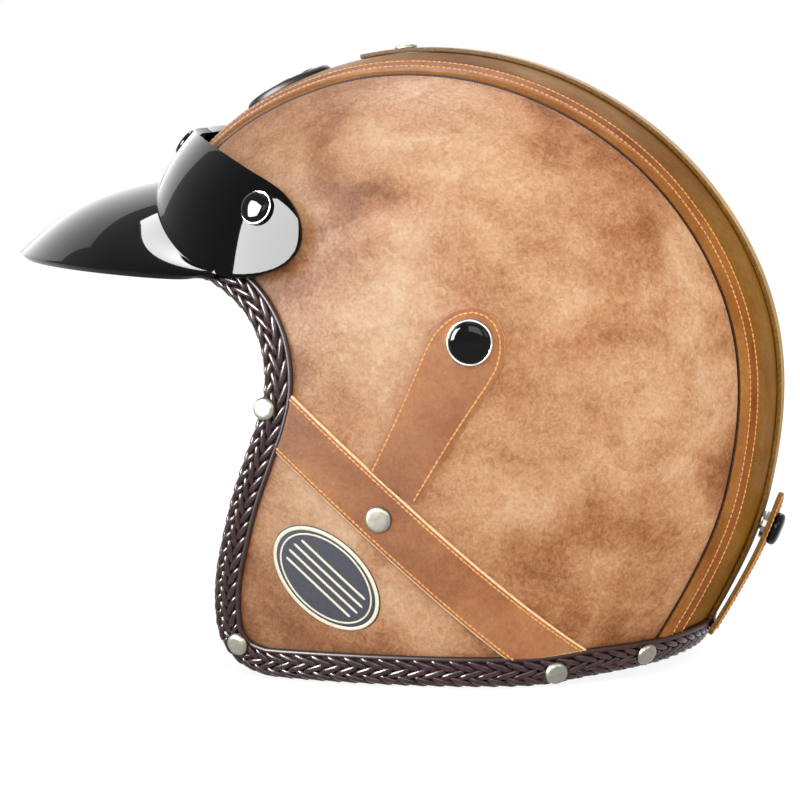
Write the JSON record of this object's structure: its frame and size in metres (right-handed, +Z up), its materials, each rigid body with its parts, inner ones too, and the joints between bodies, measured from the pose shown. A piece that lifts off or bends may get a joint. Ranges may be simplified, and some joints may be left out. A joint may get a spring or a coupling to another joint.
{
  "type": "open-face motorcycle helmet",
  "caption": "Leather-covered open-face helmet with braided trim, removable gloss peak, side straps, padded liner and buckled chin strap.",
  "frame": {"origin": "on the table, under the middle of the helmet's length and width, with the helmet standing on its lower trim", "axes": "+Z up, -Y forward out of the face opening, +X to the wearer's left"},
  "size_m": [0.2304, 0.3232, 0.2555],
  "materials": {
    "tan_leather": "distressed tan leather, satin",
    "olive_leather": "distressed olive-tan leather, satin",
    "pale_leather": "pale tan piping with orange stitching",
    "dark_braid": "plaited dark brown leather, semi-gloss",
    "shell_resin": "moulded fibre resin, matte",
    "liner_foam": "dense moulded foam, matte",
    "lining_fabric": "brushed lining fabric over padding",
    "peak_plastic": "high gloss black",
    "snap_black": "gloss black enamel",
    "nickel": "polished nickel",
    "dark_metal": "blackened steel, satin",
    "badge_cloth": "embroidered navy cloth with cream border",
    "webbing": "woven black webbing",
    "pull_tape": "woven red tape"
  },
  "bodies": {
    "helmet": {"outer_shell": "shell_resin", "foam_liner": "liner_foam", "edge_trim": "dark_braid", "leather_band": "olive_leather", "leather_panel_left": "tan_leather", "leather_panel_right": "tan_leather", "seam_welt_left": "pale_leather", "seam_welt_right": "pale_leather", "crown_strap": "olive_leather", "side_strap_left": "tan_leather", "side_strap_right": "tan_leather", "snap_tab_left": "tan_leather", "snap_tab_right": "tan_leather", "side_badge": "badge_cloth", "brow_plaque": "dark_metal", "comfort_lining": "lining_fabric", "cheek_pad_left": "lining_fabric", "cheek_pad_right": "lining_fabric", "neck_pad": "lining_fabric", "trim_rivet_upper_left": "nickel", "trim_rivet_upper_right": "nickel", "trim_rivet_front_left": "nickel", "trim_rivet_front_right": "nickel", "trim_rivet_lower_left": "nickel", "trim_rivet_lower_right": "nickel", "trim_rivet_back_left": "nickel", "trim_rivet_back_right": "nickel", "strap_rivet_left": "nickel", "strap_rivet_right": "nickel", "crown_rivet": "nickel", "tab_snap_rim_left": "nickel", "tab_snap_rim_right": "nickel", "tab_snap_cap_left": "snap_black", "tab_snap_cap_right": "snap_black", "peak_snap_centre_stud": "nickel", "peak_snap_left_stud": "nickel", "peak_snap_right_stud": "nickel", "retainer_snap_stud": "nickel", "chin_anchor_left": "nickel", "chin_anchor_right": "nickel"},
    "peak_body": {"peak": "peak_plastic", "peak_snap_centre_socket": "nickel", "peak_snap_centre_cap": "snap_black", "peak_snap_left_socket": "nickel", "peak_snap_left_cap": "snap_black", "peak_snap_right_socket": "nickel", "peak_snap_right_cap": "snap_black"},
    "retainer_body": {"goggle_retainer": "olive_leather", "retainer_snap_socket": "nickel", "retainer_snap_cap": "snap_black"},
    "chin_strap_body": {"chin_strap_left": "webbing", "chin_strap_right": "webbing", "buckle_housing": "dark_metal", "buckle_tongue": "nickel"},
    "lever_body": {"buckle_lever": "dark_metal", "lever_pull": "pull_tape"}
  },
  "joints": [
    {"name": "peak_pull_off", "type": "slide", "parent": "helmet", "child": "peak_body", "axis": [0, -0.9292, 0.3697], "range_m": [0, 0.06]},
    {"name": "retainer_hinge", "type": "hinge", "parent": "helmet", "child": "retainer_body", "pos_m": [0, 0.13166, 0.01222], "axis": [-1, 0, 0], "range_deg": [0, 60]},
    {"name": "chin_strap_swing", "type": "hinge", "parent": "helmet", "child": "chin_strap_body", "pos_m": [0, 0.01301, 0.06901], "axis": [1, 0, 0], "range_deg": [0, 60]},
    {"name": "lever_release", "type": "hinge", "parent": "chin_strap_body", "child": "lever_body", "pos_m": [0.0163, 0.01301, 0.0131], "axis": [0, 1, 0], "range_deg": [0, 45]}
  ]
}
